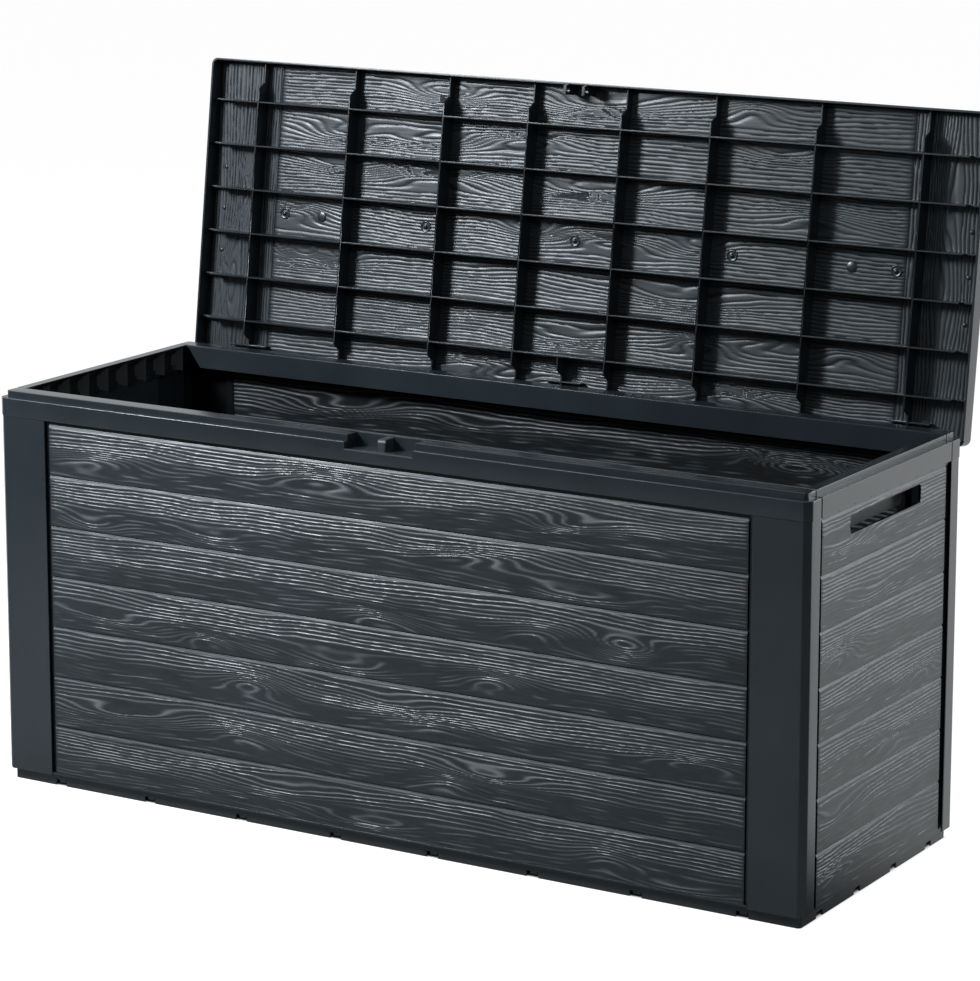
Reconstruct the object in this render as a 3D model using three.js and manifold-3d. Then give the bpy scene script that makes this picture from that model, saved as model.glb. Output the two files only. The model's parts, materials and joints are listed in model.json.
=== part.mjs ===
// Deck storage box: four clip-together wall panels on a floor tray, with a ribbed lid on three hinge pins.
// Millimetres, +Z up. X runs along the box, the front faces -Y, and the origin is on the ground
// under the middle of the floor. The lid is shown open, resting back on its stop.

import * as THREE from 'three';
import { mergeVertices } from 'three/addons/utils/BufferGeometryUtils.js';
import Module from 'manifold-3d';

const wasm = await Module();
wasm.setup();

// ---------------------------------------------------------------- driving sizes

// Body
const LENGTH = 1160;
const DEPTH = 415;
const LEDGE_HEIGHT = 508;
const WALL = 2.8;
const CORNER_CHAMFER = 8;
const CORNER_LEAST = 1;
const CORNER_RETURN = 30;

// Rim: an outer ledge for the lid, a raised ridge inside it and a smooth band below it
const RIDGE_RISE = 8;
const RIDGE_INSET = 7.6;
const LONG_RIDGE_WIDTH = 24;
const SHORT_RIDGE_WIDTH = 14;
const RIM_PLATE = 3;
const BAND_HEIGHT = 24;
const INNER_BAND_HEIGHT = 30;
const INNER_BAND_MITRE = 20;

// Planks and posts
const PLANK_COUNT = 7;
const PLANK_FOOT = 15.5;
const PLANK_INSET = 3.6;
const JOINT_DEPTH = 2.2;
const JOINT_BEVEL = 4.2;
const SHADOW_LINE = 4;
const POST_WIDTH = 73.5;
const POST_FOOT = 14;
const POST_INSET = 0.8;
const POST_GROOVE = 5.5;
const GROOVE_FLOOR = 6;

// Side panels
const SEAM_GAP = 1.6;
const SEAM_GROOVE = 7.5;
const LAP_LENGTH = 11;
const COMB_PITCH = 42;
const COMB_COUNT = 9;
const COMB_HEIGHT = 31;
const COMB_THICKNESS = 2.4;
const RAIL_DEPTH = 12;
const HANDLE_WIDTH = 192;
const HANDLE_HEIGHT = 23;
const HANDLE_RADIUS = 5;
const HANDLE_DROP = 9;
const GRIP_SETBACK = 28;
const GRIP_LIP = 3;
const GRIP_OVERHANG = 4.5;
const GRIP_RADIUS = 8;

// Floor tray and the clips that hold the walls to it
const TRAY_INSET = 7.5;
const TRAY_WALL = 2.8;
const TRAY_PLATE = 2.5;
const TRAY_PLATE_TOP = 13;
const TRAY_RIB = 2.5;
const TRAY_LONG_RIBS = 3;
const TRAY_CROSS_RIBS = 7;
const TRAY_PAD = 50;
const FOOT_FLANGE = 3;
const CLIP_END_LONG = 83;
const CLIP_COUNT_LONG = 8;
const CLIP_END_SHORT = 57.5;
const CLIP_COUNT_SHORT = 4;
const CLIP_WIDTH = 10;
const CLIP_THICKNESS = 2.6;
const CLIP_FOOT = 3;
const CLIP_CLEARANCE = 0.6;
const WINDOW_WIDTH = 16;
const WINDOW_HEIGHT = 7.5;

// Latch pocket through the front rim, with a padlock lug in its middle
const LATCH_WIDTH = 97;
const LATCH_DROP = 8.5;
const LUG_WIDTH = 10.5;
const LUG_HEIGHT = 15;
const LUG_INSET = 8;
const LUG_ROUND = 5;
const SHACKLE_HOLE = 7;
const SHACKLE_INSET = 14;
const SHACKLE_RISE = 6.5;

// Hinges
const HINGE_END = 85;
const HINGE_INSET = 2.5;
const HINGE_DROP = 12.6;
const OPEN_ANGLE = 97.5;
const NOTCH_WIDTH = 62;
const KNUCKLE_RADIUS = 5.5;
const KNUCKLE_CLEARANCE = 0.8;
const KNUCKLE_END_GAP = 1.5;
const HINGE_CHEEK = 6;
const BORE_END_WALL = 1.5;
const HEEL_REACH = 9;
const HEEL_THICKNESS = 2.6;
const HEEL_ROOT = 9;
const PIN_RADIUS = 3;
const PIN_CLEARANCE = 0.35;

// Lid
const LID_INSET = 4;
const LID_REAR_INSET = 0.8;
const LID_SEAT_GAP = 0.4;
const LID_HEIGHT = 26;
const LID_SKIN = 2.8;
const LID_CORNER = 9;
const LID_EDGE_ROUND = 5;
const REAR_RELIEF = 1.6;
const REAR_RELIEF_LENGTH = 8;
const LID_ROW_COUNT = 7;
const LID_EDGE_BOARD = 56.1;
const LID_RIBS_X = [69.1, 198.6, 346.9, 494.1];
const LID_END_BOARD = 109;
const LID_RIB = 2.4;
const RIB_PROUD = 3;
const RIDGE_CLEARANCE = 2;
const RIB_SIDE_CLEARANCE = 2;
const RIB_NOSE_SLOPE = 9;
const HINGE_RIB_START = 37;
const HINGE_RIB_SLOPE = 8;
const HINGE_BAR_SETBACK = 22;
const LID_JOINT_DEPTH = 1.4;
const LID_JOINT_WIDTH = 3;
const CHEEK_GAP = 6.2;
const CHEEK_THICKNESS = 4.4;
const CHEEK_DROP = 8;
const CHEEK_BACK = 20;

const CLEARANCE = 0.3;
const OVERLAP = 0.5;
const ROUND_STEPS = 24;
const CORNER_STEPS = 5;
const EDGE_STEPS = 3;

// ---------------------------------------------------------------- sizes that follow

const HALF_LENGTH = LENGTH / 2;
const HALF_DEPTH = DEPTH / 2;
const RIDGE_TOP = LEDGE_HEIGHT + RIDGE_RISE;
const BAND_FOOT = LEDGE_HEIGHT - BAND_HEIGHT;
const PLANK_TOP = BAND_FOOT - SHADOW_LINE;
const PLANK_PITCH = (PLANK_TOP - PLANK_FOOT) / PLANK_COUNT;
const LONG_RIDGE_EDGE = RIDGE_INSET + LONG_RIDGE_WIDTH;
const SHORT_RIDGE_EDGE = RIDGE_INSET + SHORT_RIDGE_WIDTH;
const COMB_FOOT = RIDGE_TOP - RIM_PLATE - COMB_HEIGHT;
const CLIP_PITCH_LONG = (LENGTH - 2 * CLIP_END_LONG) / (CLIP_COUNT_LONG - 1);
const CLIP_PITCH_SHORT = (DEPTH - 2 * CLIP_END_SHORT) / (CLIP_COUNT_SHORT - 1);
const CLIP_INSET = TRAY_INSET + TRAY_WALL + CLIP_CLEARANCE;
const FLANGE_EDGE = CLIP_INSET + CLIP_THICKNESS;
const LATCH_FLOOR = LEDGE_HEIGHT - LATCH_DROP;
const SHACKLE_HEIGHT = LATCH_FLOOR + SHACKLE_RISE;
const SHACKLE_Y = SHACKLE_INSET - HALF_DEPTH;
const BORE_REACH = NOTCH_WIDTH / 2 + HINGE_CHEEK - BORE_END_WALL;
const HINGE_SPACING = HALF_LENGTH - HINGE_END;
const AXIS_Y = HALF_DEPTH - HINGE_INSET;
const AXIS_Z = LEDGE_HEIGHT - HINGE_DROP;
const LID_HALF_LENGTH = HALF_LENGTH - LID_INSET;
const LID_END_JOINT = HALF_LENGTH - LID_END_BOARD;
const LID_FRONT = -HALF_DEPTH + LID_INSET - AXIS_Y;
const LID_REAR = HALF_DEPTH - LID_REAR_INSET - AXIS_Y;
const LID_MIDDLE = (LID_FRONT + LID_REAR) / 2;
const LID_SEAT = HINGE_DROP + LID_SEAT_GAP;
const LID_TOP = HINGE_DROP + LID_HEIGHT;
const LID_UNDERSIDE = LID_TOP - LID_SKIN;
const RIB_TIP = LID_SEAT - RIB_PROUD;
const RIB_STEP = HINGE_DROP + RIDGE_RISE + RIDGE_CLEARANCE;

// ---------------------------------------------------------------- solids

// A closed three.js geometry as a solid that can be joined and cut.
function solidOf(geometry) {
  const bare = geometry.clone();
  bare.deleteAttribute('normal');
  bare.deleteAttribute('uv');
  const merged = mergeVertices(bare, 1e-4);
  return new wasm.Manifold(new wasm.Mesh({
    numProp: 3,
    vertProperties: new Float32Array(merged.attributes.position.array),
    triVerts: new Uint32Array(merged.index.array),
  }));
}

function block([x0, x1], [y0, y1], [z0, z1]) {
  const geometry = new THREE.BoxGeometry(x1 - x0, y1 - y0, z1 - z0);
  geometry.translate((x0 + x1) / 2, (y0 + y1) / 2, (z0 + z1) / 2);
  return solidOf(geometry);
}

function extrusion(points, depth) {
  const shape = new THREE.Shape(points.map(([u, v]) => new THREE.Vector2(u, v)));
  return new THREE.ExtrudeGeometry(shape, { depth, bevelEnabled: false });
}

// A plan outline (x, y) raised from z0 to z1.
function raised(points, z0, z1) {
  const geometry = extrusion(points, z1 - z0);
  geometry.translate(0, 0, z0);
  return solidOf(geometry);
}

// The same, with its upper edge rounded.
function raisedAndRounded(points, z0, z1, radius) {
  const shape = new THREE.Shape(points.map(([x, y]) => new THREE.Vector2(x, y)));
  const geometry = new THREE.ExtrudeGeometry(shape, {
    depth: z1 - z0,
    bevelThickness: radius,
    bevelSize: radius,
    bevelOffset: -radius,
    bevelSegments: EDGE_STEPS,
  });
  geometry.translate(0, 0, z0 - radius);
  const { min, max } = new THREE.Box3().setFromBufferAttribute(geometry.attributes.position);
  return cut(solidOf(geometry), [block(
    [min.x - OVERLAP, max.x + OVERLAP], [min.y - OVERLAP, max.y + OVERLAP], [min.z - OVERLAP, z0])]);
}

// A section (y, z) drawn out along X.
function alongX(points, x0, x1) {
  const geometry = extrusion(points, x1 - x0);
  geometry.applyMatrix4(new THREE.Matrix4().makeBasis(
    new THREE.Vector3(0, 1, 0), new THREE.Vector3(0, 0, 1), new THREE.Vector3(1, 0, 0)));
  geometry.translate(x0, 0, 0);
  return solidOf(geometry);
}

// A section (x, z) drawn out along Y.
function alongY(points, y0, y1) {
  const geometry = extrusion(points, y1 - y0);
  geometry.applyMatrix4(new THREE.Matrix4().makeBasis(
    new THREE.Vector3(1, 0, 0), new THREE.Vector3(0, 0, 1), new THREE.Vector3(0, -1, 0)));
  geometry.translate(0, y1, 0);
  return solidOf(geometry);
}

function rodAlongX(x0, x1, y, z, radius) {
  const geometry = new THREE.CylinderGeometry(radius, radius, x1 - x0, ROUND_STEPS);
  geometry.rotateZ(Math.PI / 2);
  geometry.translate((x0 + x1) / 2, y, z);
  return solidOf(geometry);
}

function joined(solids) {
  return solids.reduce((sum, solid) => sum.add(solid));
}

function cut(solid, tools) {
  return tools.reduce((rest, tool) => rest.subtract(tool), solid);
}

// Positions of a centred row.
function row(count, pitch) {
  return Array.from({ length: count }, (_, i) => (i - (count - 1) / 2) * pitch);
}

// A rectangle with rounded corners; radii are for the low-low, high-low, high-high and low-high corners.
function roundedRectangle([u0, u1], [v0, v1], radii) {
  const corners = [[u0, v0, 1, 1], [u1, v0, -1, 1], [u1, v1, -1, -1], [u0, v1, 1, -1]];
  return corners.flatMap(([u, v, su, sv], i) => {
    const radius = radii[i];
    if (radius === 0) {
      return [[u, v]];
    }
    const quarter = Math.PI / 2;
    return Array.from({ length: CORNER_STEPS + 1 }, (_, k) => {
      const angle = Math.PI + (i + k / CORNER_STEPS) * quarter;
      return [u + (su + Math.cos(angle)) * radius, v + (sv + Math.sin(angle)) * radius];
    });
  });
}

// ---------------------------------------------------------------- wall sections

// The plank wall, as (inset from the outer face, height). Each joint is a groove outside and a rib inside.
function plankSection() {
  const inner = PLANK_INSET + WALL;
  const outside = [[PLANK_INSET, PLANK_FOOT]];
  const inside = [[inner, PLANK_FOOT]];
  for (let i = 1; i <= PLANK_COUNT; i += 1) {
    const joint = PLANK_FOOT + i * PLANK_PITCH;
    outside.push([PLANK_INSET, joint - JOINT_BEVEL], [PLANK_INSET + JOINT_DEPTH, joint]);
    if (i < PLANK_COUNT) {
      outside.push([PLANK_INSET, joint + OVERLAP]);
      inside.push([inner, joint - JOINT_BEVEL]);
      inside.push([inner + JOINT_DEPTH, joint - OVERLAP], [inner + JOINT_DEPTH, joint + OVERLAP]);
      inside.push([inner, joint + JOINT_BEVEL]);
    }
  }
  const top = BAND_FOOT + RIM_PLATE;
  outside.push([PLANK_INSET + JOINT_DEPTH, BAND_FOOT], [WALL - OVERLAP, BAND_FOOT], [WALL - OVERLAP, top]);
  inside.push([inner, top]);
  return [...outside, ...inside.reverse()];
}

// Turns (inset, height) into (y, z) on the front face or (x, z) on the right face.
const onFront = (points) => points.map(([d, z]) => [d - HALF_DEPTH, z]);
const onRight = (points) => points.map(([d, z]) => [HALF_LENGTH - d, z]);

// The corner chamfer's leg along a line that runs inside the outer face by one inset.
function chamferAt(inset) {
  return Math.max(CORNER_CHAMFER - inset * (2 - Math.SQRT2), CORNER_LEAST);
}

// The plan line that runs round the front corners at one inset, from seam to seam.
function cornerLine(inset) {
  const chamfer = chamferAt(inset);
  const x = HALF_LENGTH - inset;
  const y = -HALF_DEPTH + inset;
  const seam = -HALF_DEPTH + CORNER_RETURN;
  return [[-x, seam], [-x, y + chamfer], [-x + chamfer, y], [x - chamfer, y], [x, y + chamfer], [x, seam]];
}

// A strip between two insets, round both front corners.
function cornerStrip(outer, inner) {
  return [...cornerLine(outer), ...cornerLine(inner).reverse()];
}

// ---------------------------------------------------------------- long panels

// The rim of a long panel, which wraps round to the seams on both sides.
function longRim() {
  const seam = -HALF_DEPTH + CORNER_RETURN;
  const edgeX = HALF_LENGTH - SHORT_RIDGE_EDGE - SEAM_GAP;
  const edgeY = -HALF_DEPTH + LONG_RIDGE_EDGE;
  const ridgeInner = [[edgeX, seam], [edgeX, edgeY], [-edgeX, edgeY], [-edgeX, seam]];
  const ridgeWall = RIDGE_INSET + WALL;
  const bandFoot = RIDGE_TOP - INNER_BAND_HEIGHT;
  const innerBand = [[-edgeX, RIDGE_TOP], [-edgeX + INNER_BAND_MITRE, bandFoot],
    [edgeX - INNER_BAND_MITRE, bandFoot], [edgeX, RIDGE_TOP]];
  return joined([
    raised(cornerStrip(0, WALL), BAND_FOOT, LEDGE_HEIGHT),
    raised(cornerStrip(0, ridgeWall), LEDGE_HEIGHT - RIM_PLATE, LEDGE_HEIGHT),
    raised(cornerStrip(RIDGE_INSET, ridgeWall), LEDGE_HEIGHT - RIM_PLATE, RIDGE_TOP),
    raised([...cornerLine(RIDGE_INSET), ...ridgeInner], RIDGE_TOP - RIM_PLATE, RIDGE_TOP),
    alongY(innerBand, edgeY - WALL, edgeY),
  ]);
}

// One corner post with the groove beside it; side is 1 for the right and -1 for the left.
function post(side) {
  const outer = cornerLine(POST_INSET).slice(3);
  const inner = cornerLine(POST_INSET + WALL).slice(3).reverse();
  const edge = HALF_LENGTH - POST_WIDTH;
  const plan = [[edge, outer[0][1]], ...outer, ...inner, [edge, inner[inner.length - 1][1]]];
  const turned = plan.map(([x, y]) => [side * x, y]);
  const y0 = -HALF_DEPTH;
  const span = (x0, x1) => (side > 0 ? [x0, x1] : [-x1, -x0]);
  const grooveBack = GROOVE_FLOOR + WALL;
  return joined([
    raised(turned, POST_FOOT, BAND_FOOT + RIM_PLATE),
    block(span(edge, edge + WALL), [y0 + POST_INSET, y0 + grooveBack],
      [PLANK_FOOT, BAND_FOOT + RIM_PLATE]),
    block(span(edge - POST_GROOVE - WALL, edge + WALL), [y0 + GROOVE_FLOOR, y0 + grooveBack],
      [PLANK_FOOT, BAND_FOOT + RIM_PLATE]),
  ]);
}

// The foot flange that rests on the tray, with the tongues that drop behind its wall.
function longFoot() {
  const y0 = -HALF_DEPTH;
  const flangeX = HALF_LENGTH - POST_WIDTH / 2;
  const clips = row(CLIP_COUNT_LONG, CLIP_PITCH_LONG).map((x) => block(
    [x - CLIP_WIDTH / 2, x + CLIP_WIDTH / 2], [y0 + CLIP_INSET, y0 + FLANGE_EDGE],
    [CLIP_FOOT, PLANK_FOOT + OVERLAP]));
  const flange = block([-flangeX, flangeX], [y0 + POST_INSET + OVERLAP, y0 + FLANGE_EDGE],
    [PLANK_FOOT, PLANK_FOOT + FOOT_FLANGE]);
  return joined([flange, ...clips]);
}

// What the front and the rear panel share, drawn as the front panel.
function longPanel() {
  const fieldX = HALF_LENGTH - POST_WIDTH - POST_GROOVE;
  return joined([
    longRim(),
    alongX(onFront(plankSection()), -fieldX, fieldX),
    post(1),
    post(-1),
    longFoot(),
  ]);
}

// The finger pocket, cut through the ledge and the ridge as far as the inner band.
function latchPocket(panel) {
  const y0 = -HALF_DEPTH;
  const half = LATCH_WIDTH / 2;
  const shell = block([-half - WALL, half + WALL], [y0, y0 + LONG_RIDGE_EDGE],
    [LATCH_FLOOR - RIM_PLATE, LEDGE_HEIGHT]);
  const ends = [-half - WALL, half].map((x) => block(
    [x, x + WALL], [y0 + RIDGE_INSET, y0 + LONG_RIDGE_EDGE], [LEDGE_HEIGHT - OVERLAP, RIDGE_TOP]));
  const space = block([-half, half], [y0 - OVERLAP, y0 + LONG_RIDGE_EDGE - WALL],
    [LATCH_FLOOR, RIDGE_TOP + OVERLAP]);
  return cut(joined([panel, shell, ...ends]), [space]);
}

// The padlock lug, rounded at its front, with a hole for the shackle.
function padlockLug() {
  const outline = roundedRectangle([LUG_INSET, LONG_RIDGE_EDGE - WALL + OVERLAP],
    [LATCH_FLOOR - OVERLAP, LATCH_FLOOR + LUG_HEIGHT], [0, 0, 0, LUG_ROUND]);
  const lug = alongX(onFront(outline), -LUG_WIDTH / 2, LUG_WIDTH / 2);
  return cut(lug, [rodAlongX(-LUG_WIDTH, LUG_WIDTH, SHACKLE_Y, SHACKLE_HEIGHT, SHACKLE_HOLE / 2)]);
}

function frontPanel() {
  return latchPocket(longPanel()).add(padlockLug());
}

// One hinge pocket in a rim drawn as the front one: room for the knuckle, a slot for its plate above,
// and at each end a cheek with a round boss and a blind bore for the pin.
function hingePocket(panel, x) {
  const y0 = -HALF_DEPTH;
  const axisY = y0 + HINGE_INSET;
  const half = NOTCH_WIDTH / 2;
  const room = KNUCKLE_RADIUS + KNUCKLE_CLEARANCE;
  const floor = AXIS_Z - room;
  const outer = half + HINGE_CHEEK;
  const space = [x - half, x + half];
  const shell = block([x - outer, x + outer], [y0, axisY + room + WALL],
    [floor - RIM_PLATE, LEDGE_HEIGHT]);
  const bosses = [x - outer, x + half].map(
    (at) => rodAlongX(at, at + HINGE_CHEEK, axisY, AXIS_Z, KNUCKLE_RADIUS));
  const low = block(space, [y0 - KNUCKLE_RADIUS, axisY + room], [floor, AXIS_Z + room]);
  const high = block(space, [y0 - KNUCKLE_RADIUS, y0 + RIDGE_INSET], [AXIS_Z, LEDGE_HEIGHT + OVERLAP]);
  const bore = rodAlongX(x - BORE_REACH, x + BORE_REACH, axisY, AXIS_Z, PIN_RADIUS + PIN_CLEARANCE);
  return cut(joined([panel, shell, ...bosses]), [low, high, bore]);
}

function rearPanel() {
  return [-HINGE_SPACING, 0, HINGE_SPACING].reduce(hingePocket, longPanel());
}

// ---------------------------------------------------------------- side panels

// The rim of a side panel as (inset, height): band, ledge and ridge in one folded plate.
function sideRimSection() {
  const wall = RIDGE_INSET + WALL;
  const underLedge = LEDGE_HEIGHT - RIM_PLATE;
  const underRidge = RIDGE_TOP - RIM_PLATE;
  return [[0, BAND_FOOT], [0, LEDGE_HEIGHT], [RIDGE_INSET, LEDGE_HEIGHT], [RIDGE_INSET, RIDGE_TOP],
    [SHORT_RIDGE_EDGE, RIDGE_TOP], [SHORT_RIDGE_EDGE, underRidge], [wall, underRidge], [wall, underLedge],
    [WALL, underLedge], [WALL, BAND_FOOT]];
}

// The comb of webs that stiffens the ridge, and the rail they stand on.
function comb(halfSpan) {
  const web = onRight([[WALL - OVERLAP, COMB_FOOT], [SHORT_RIDGE_EDGE, COMB_FOOT],
    [SHORT_RIDGE_EDGE, RIDGE_TOP - OVERLAP], [RIDGE_INSET + OVERLAP, RIDGE_TOP - OVERLAP],
    [RIDGE_INSET + OVERLAP, LEDGE_HEIGHT - OVERLAP], [WALL - OVERLAP, LEDGE_HEIGHT - OVERLAP]]);
  const half = COMB_THICKNESS / 2;
  const webs = row(COMB_COUNT, COMB_PITCH).map((y) => alongY(web, y - half, y + half));
  const rail = block([HALF_LENGTH - RAIL_DEPTH, HALF_LENGTH - PLANK_INSET - OVERLAP], [-halfSpan, halfSpan],
    [COMB_FOOT - RIM_PLATE, COMB_FOOT + OVERLAP]);
  return joined([rail, ...webs]);
}

// The grip behind the handle slot: a shelf at the rail with a lip hanging from it.
function grip() {
  const x1 = HALF_LENGTH - GRIP_SETBACK;
  const half = HANDLE_WIDTH / 2;
  const foot = PLANK_TOP - HANDLE_DROP - HANDLE_HEIGHT - GRIP_OVERHANG;
  const lip = roundedRectangle([-half, half], [foot, COMB_FOOT], [GRIP_RADIUS, GRIP_RADIUS, 0, 0]);
  return joined([
    alongX(lip, x1 - GRIP_LIP, x1),
    block([x1 - GRIP_LIP, HALF_LENGTH - PLANK_INSET - OVERLAP], [-half, half],
      [COMB_FOOT - RIM_PLATE, COMB_FOOT]),
  ]);
}

function handleSlot() {
  const top = PLANK_TOP - HANDLE_DROP;
  const outline = roundedRectangle([-HANDLE_WIDTH / 2, HANDLE_WIDTH / 2], [top - HANDLE_HEIGHT, top],
    [HANDLE_RADIUS, HANDLE_RADIUS, HANDLE_RADIUS, HANDLE_RADIUS]);
  return alongX(outline, HALF_LENGTH - PLANK_INSET - WALL - JOINT_DEPTH, HALF_LENGTH + OVERLAP);
}

// The floors of the grooves beside the planks, which run on as laps behind the corner returns.
function laps(fieldSpan) {
  const x = [HALF_LENGTH - GROOVE_FLOOR - WALL, HALF_LENGTH - GROOVE_FLOOR];
  return [-1, 1].map((side) => {
    const y0 = side * (fieldSpan - WALL);
    const y1 = side * (fieldSpan + SEAM_GROOVE + LAP_LENGTH);
    return block(x, [Math.min(y0, y1), Math.max(y0, y1)], [PLANK_FOOT, BAND_FOOT + RIM_PLATE]);
  });
}

function sideFoot() {
  const half = HALF_DEPTH - POST_WIDTH / 2;
  const x1 = HALF_LENGTH - CLIP_INSET;
  const x0 = HALF_LENGTH - FLANGE_EDGE;
  const clips = row(CLIP_COUNT_SHORT, CLIP_PITCH_SHORT).map((y) => block(
    [x0, x1], [y - CLIP_WIDTH / 2, y + CLIP_WIDTH / 2], [CLIP_FOOT, PLANK_FOOT + OVERLAP]));
  const flange = block([x0, HALF_LENGTH - PLANK_INSET - OVERLAP], [-half, half],
    [PLANK_FOOT, PLANK_FOOT + FOOT_FLANGE]);
  return joined([flange, ...clips]);
}

// A side panel, drawn as the right-hand one.
function sidePanel() {
  const halfSpan = HALF_DEPTH - CORNER_RETURN - SEAM_GAP;
  const fieldSpan = halfSpan - SEAM_GROOVE;
  const wall = joined([
    alongY(onRight(sideRimSection()), -halfSpan, halfSpan),
    alongY(onRight(plankSection()), -fieldSpan, fieldSpan),
    comb(halfSpan),
    ...laps(fieldSpan),
    sideFoot(),
  ]);
  return cut(wall, [handleSlot()]).add(grip());
}

// ---------------------------------------------------------------- floor tray

function trayOutline(inset) {
  const chamfer = chamferAt(inset);
  const x = HALF_LENGTH - inset;
  const y = HALF_DEPTH - inset;
  return [[-x, -y + chamfer], [-x + chamfer, -y], [x - chamfer, -y], [x, -y + chamfer],
    [x, y - chamfer], [x - chamfer, y], [-x + chamfer, y], [-x, y - chamfer]];
}

// The holes that the tongues drop into, and the windows that show them in the tray's wall.
function clipHoles() {
  const inner = TRAY_INSET + TRAY_WALL;
  const pocket = FLANGE_EDGE + CLIP_CLEARANCE;
  const half = CLIP_WIDTH / 2 + CLIP_CLEARANCE;
  const windowHalf = WINDOW_WIDTH / 2;
  const top = TRAY_PLATE_TOP + OVERLAP;
  const span = (side, a, b) => (side > 0 ? [a, b] : [-b, -a]);
  const holes = [];
  for (const side of [1, -1]) {
    for (const x of row(CLIP_COUNT_LONG, CLIP_PITCH_LONG)) {
      holes.push(block([x - half, x + half],
        span(side, HALF_DEPTH - pocket, HALF_DEPTH - inner), [0, top]));
      holes.push(block([x - windowHalf, x + windowHalf],
        span(side, HALF_DEPTH - inner, HALF_DEPTH), [-OVERLAP, WINDOW_HEIGHT]));
    }
    for (const y of row(CLIP_COUNT_SHORT, CLIP_PITCH_SHORT)) {
      holes.push(block(span(side, HALF_LENGTH - pocket, HALF_LENGTH - inner),
        [y - half, y + half], [0, top]));
      holes.push(block(span(side, HALF_LENGTH - inner, HALF_LENGTH),
        [y - windowHalf, y + windowHalf], [-OVERLAP, WINDOW_HEIGHT]));
    }
  }
  return holes;
}

// The stiffening ribs under the plate, and the pad in their middle.
function trayRibs() {
  const inset = FLANGE_EDGE + CLIP_CLEARANCE + TRAY_RIB;
  const x = HALF_LENGTH - inset;
  const y = HALF_DEPTH - inset;
  const height = [0, TRAY_PLATE_TOP - OVERLAP];
  const across = row(TRAY_CROSS_RIBS, CLIP_PITCH_LONG).map((at) => block(
    [at - TRAY_RIB / 2, at + TRAY_RIB / 2], [-y, y], height));
  const along = row(TRAY_LONG_RIBS, CLIP_PITCH_SHORT).map((at) => block(
    [-x, x], [at - TRAY_RIB / 2, at + TRAY_RIB / 2], height));
  const pad = block([-TRAY_PAD / 2, TRAY_PAD / 2], [-TRAY_PAD / 2, TRAY_PAD / 2], height);
  return [...across, ...along, pad];
}

function floorTray() {
  const top = PLANK_FOOT - CLEARANCE;
  const rim = cut(raised(trayOutline(TRAY_INSET), 0, top), [
    raised(trayOutline(TRAY_INSET + TRAY_WALL), -OVERLAP, top + OVERLAP)]);
  const plate = raised(trayOutline(TRAY_INSET + OVERLAP), TRAY_PLATE_TOP - TRAY_PLATE, TRAY_PLATE_TOP);
  return cut(joined([rim, plate, ...trayRibs()]), clipHoles());
}

// ---------------------------------------------------------------- lid, drawn closed about its hinge axis

function lidOutline(inset) {
  const x = LID_HALF_LENGTH - inset;
  const radius = LID_CORNER - inset;
  return roundedRectangle([-x, x], [LID_FRONT + inset, LID_REAR - inset], [radius, radius, radius, radius]);
}

// The shell: a flat skin with a skirt, relieved at the rear so that it clears the rim as it swings.
function lidShell() {
  const outer = raisedAndRounded(lidOutline(0), LID_SEAT, LID_TOP, LID_EDGE_ROUND);
  const hollow = raised(lidOutline(LID_SKIN), LID_SEAT - OVERLAP, LID_UNDERSIDE);
  const relief = block([-HALF_LENGTH, HALF_LENGTH], [LID_REAR - REAR_RELIEF_LENGTH, LID_REAR + OVERLAP],
    [LID_SEAT - OVERLAP, LID_SEAT + REAR_RELIEF]);
  return cut(outer, [hollow, relief]);
}

// The y of each joint between two lid planks, from front to rear.
function lidRowLines() {
  const pitch = (LID_REAR - LID_FRONT - 2 * LID_EDGE_BOARD) / (LID_ROW_COUNT - 2);
  return row(LID_ROW_COUNT - 1, pitch).map((y) => LID_MIDDLE + y);
}

// V grooves between the planks and beside the end boards on the top face.
function lidJoints() {
  const half = LID_JOINT_WIDTH / 2;
  const above = LID_TOP + OVERLAP;
  const vee = (at) => [[at - half, above], [at - half, LID_TOP], [at, LID_TOP - LID_JOINT_DEPTH],
    [at + half, LID_TOP], [at + half, above]];
  const rows = lidRowLines().map((y) => alongX(vee(y), -LID_END_JOINT, LID_END_JOINT));
  const ends = [-LID_END_JOINT, LID_END_JOINT].map(
    (x) => alongY(vee(x), LID_FRONT - OVERLAP, LID_REAR + OVERLAP));
  return [...rows, ...ends];
}

// A rib that runs from front to rear: low over both ridges, full between them, a slope at each step.
function depthRib(x, front) {
  const step = LID_FRONT + LONG_RIDGE_EDGE - LID_INSET + RIB_SIDE_CLEARANCE;
  const start = -HINGE_RIB_START;
  const base = LID_UNDERSIDE + OVERLAP;
  const tail = [[start, RIB_TIP], [start + HINGE_RIB_SLOPE, RIB_STEP], [LID_REAR - LID_SKIN / 2, RIB_STEP],
    [LID_REAR - LID_SKIN / 2, base]];
  const nose = front < step
    ? [[front, base], [front, RIB_STEP], [step, RIB_STEP], [step + RIB_NOSE_SLOPE, RIB_TIP]]
    : [[front, base], [front, RIB_TIP]];
  return alongX([...nose, ...tail], x - LID_RIB / 2, x + LID_RIB / 2);
}

// A rib that runs along the lid, low over the ridges of the two sides.
function lengthRib(y) {
  const end = LID_HALF_LENGTH - LID_SKIN / 2;
  const step = HALF_LENGTH - SHORT_RIDGE_EDGE - RIB_SIDE_CLEARANCE;
  const base = LID_UNDERSIDE + OVERLAP;
  const section = [[-end, base], [-end, RIB_STEP], [-step, RIB_STEP], [-step, RIB_TIP],
    [step, RIB_TIP], [step, RIB_STEP], [end, RIB_STEP], [end, base]];
  return alongY(section, y - LID_RIB / 2, y + LID_RIB / 2);
}

// A point given in the lid's open position, as it lies when the lid is closed.
function closedPoint([y, z]) {
  const angle = THREE.MathUtils.degToRad(OPEN_ANGLE);
  return [y * Math.cos(angle) - z * Math.sin(angle), y * Math.sin(angle) + z * Math.cos(angle)];
}

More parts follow.
